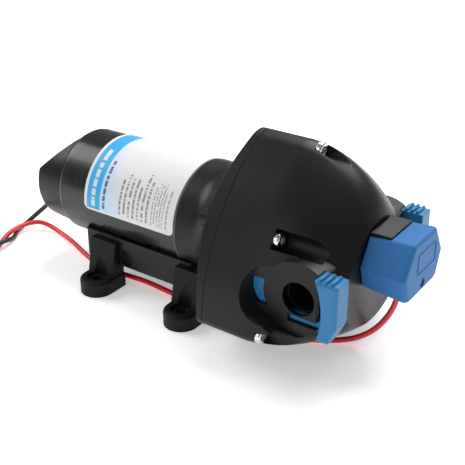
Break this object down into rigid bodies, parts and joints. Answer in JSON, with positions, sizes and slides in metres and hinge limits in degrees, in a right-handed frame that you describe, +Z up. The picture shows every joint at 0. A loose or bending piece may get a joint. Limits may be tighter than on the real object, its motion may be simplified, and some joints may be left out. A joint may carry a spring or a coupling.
{
  "type": "caravan water pump",
  "caption": "Motor-driven diaphragm pump for fresh water in a caravan, on rubber feet, with clip-in side ports, a pressure switch and two wires.",
  "frame": {"origin": "on the floor, at the middle of the four fixing holes in the feet", "axes": "+X along the motor towards the pump head, +Z up, so the near port faces -Y"},
  "size_m": [0.2491, 0.1219, 0.0958],
  "materials": {
    "housing_plastic": "moulded black plastic with a fine satin grain",
    "can_paint": "smooth black paint on drawn steel",
    "label_film": "printed film, satin",
    "clip_plastic": "moulded blue plastic",
    "cover_plastic": "moulded blue plastic",
    "foot_rubber": "soft black rubber",
    "seal_rubber": "soft rubber",
    "gasket_sheet": "pale gasket sheet",
    "screw_steel": "bright plated steel",
    "plain_steel": "machined steel",
    "magnet_ferrite": "fired ferrite",
    "copper": "enamelled copper",
    "carbon": "pressed carbon",
    "white_plastic": "moulded white plastic",
    "supply_insulation": "red insulation, satin",
    "return_insulation": "black insulation, satin"
  },
  "bodies": {
    "pump": {"motor_can": "can_paint", "motor_label": "label_film", "rear_cover": "housing_plastic", "rear_bearing": "plain_steel", "field_magnets": "magnet_ferrite", "brush_card": "white_plastic", "brushes": "carbon", "brush_springs": "plain_steel", "motor_end_plate": "plain_steel", "front_bearing": "plain_steel", "motor_gasket": "gasket_sheet", "motor_screws": "plain_steel", "drive_housing": "housing_plastic", "diaphragm": "seal_rubber", "valve_plate": "white_plastic", "inlet_valves": "seal_rubber", "outlet_valve": "seal_rubber", "plenum_seal": "seal_rubber", "front_housing": "housing_plastic", "housing_screws": "screw_steel", "port_seals": "seal_rubber", "switch_diaphragm": "seal_rubber", "switch_spring": "plain_steel", "switch_body": "housing_plastic", "microswitch": "white_plastic", "switch_screws": "plain_steel", "switch_cover": "cover_plastic", "cover_screw": "plain_steel", "supply_grommet": "seal_rubber", "return_grommet": "seal_rubber", "base_plate": "housing_plastic", "foot_rear_near": "foot_rubber", "foot_rear_far": "foot_rubber", "foot_front_near": "foot_rubber", "foot_front_far": "foot_rubber", "supply_lead": "supply_insulation", "return_lead": "return_insulation", "supply_wire_end": "copper", "return_wire_end": "copper"},
    "rotor": {"motor_shaft": "plain_steel", "armature_core": "plain_steel", "armature_windings": "copper", "commutator": "copper", "eccentric_cam": "plain_steel", "cam_bearing": "plain_steel"},
    "wobble": {"wobble_plate": "white_plastic", "pistons": "white_plastic", "piston_screws": "plain_steel"},
    "near_clip": {"port_clip_near": "clip_plastic"},
    "far_clip": {"port_clip_far": "clip_plastic"},
    "plunger": {"switch_plunger": "white_plastic", "microswitch_button": "white_plastic"}
  },
  "joints": [
    {"name": "rotor_spin", "type": "hinge", "parent": "pump", "child": "rotor", "pos_m": [0, 0, 0.043], "axis": [1, 0, 0], "continuous": true},
    {"name": "wobble_turn", "type": "hinge", "parent": "rotor", "child": "wobble", "pos_m": [0.0435, 0, 0.043], "axis": [0.9986, 0, 0.0523], "continuous": true, "deforming": ["diaphragm"]},
    {"name": "near_clip_slide", "type": "slide", "parent": "pump", "child": "near_clip", "axis": [1, 0, 0], "range_m": [0, 0.006]},
    {"name": "far_clip_slide", "type": "slide", "parent": "pump", "child": "far_clip", "axis": [1, 0, 0], "range_m": [0, 0.006]},
    {"name": "plunger_slide", "type": "slide", "parent": "pump", "child": "plunger", "axis": [1, 0, 0], "range_m": [0, 0.001], "stiffness_N_per_m": 400, "springref_m": -0.001, "deforming": ["switch_spring"]}
  ],
  "couplings": [
    {"joint": "wobble_turn", "follows": "rotor_spin", "ratio": -1}
  ]
}
